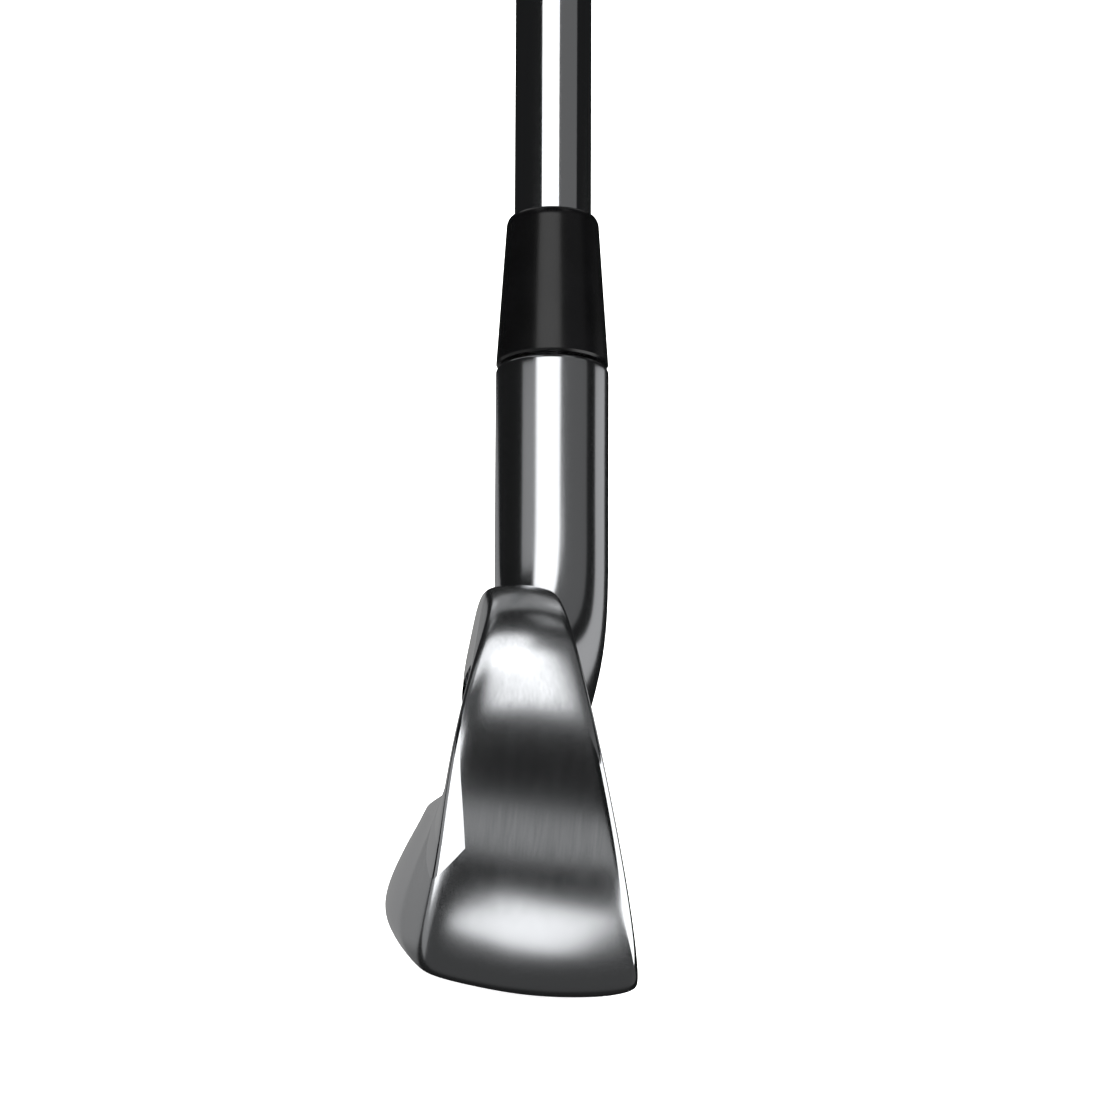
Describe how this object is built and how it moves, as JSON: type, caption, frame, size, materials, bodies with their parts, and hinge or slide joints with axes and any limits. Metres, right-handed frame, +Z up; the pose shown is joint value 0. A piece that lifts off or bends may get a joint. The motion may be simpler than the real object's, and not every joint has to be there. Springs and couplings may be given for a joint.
{
  "type": "iron golf club",
  "caption": "Iron golf club with an offset cavity-back steel head, ferrule, stepped steel shaft and tapered rubber grip.",
  "frame": {"origin": "middle of the strike face, on the face's plane", "axes": "+X from toe to heel, +Y behind the face, +Z up with the club at address; the shaft rises towards +X at 61 degrees"},
  "size_m": [0.5682, 0.0405, 0.8695],
  "materials": {
    "cast_steel": "satin brushed toe, polished edges",
    "face_steel": "fine blasted with milled score lines",
    "badge_aluminium": "dark brushed, plain",
    "foam_tape": "matte",
    "epoxy": "matte",
    "brass": "turned",
    "chrome": "bright nickel chrome",
    "label_foil": "plain metallic film",
    "ferrule_black": "polished",
    "grip_tape": "matte",
    "grip_rubber": "moulded, matte",
    "cap_rubber": "moulded, smooth"
  },
  "bodies": {
    "root": {"head_body": "cast_steel", "face_plate": "face_steel", "badge_pad": "foam_tape", "cavity_badge": "badge_aluminium", "hosel_epoxy": "epoxy", "tip_weight": "brass", "ferrule": "ferrule_black", "shaft": "chrome", "shaft_band": "label_foil", "grip_tape": "grip_tape", "grip_sleeve": "grip_rubber", "grip_cap": "cap_rubber"}
  },
  "joints": []
}
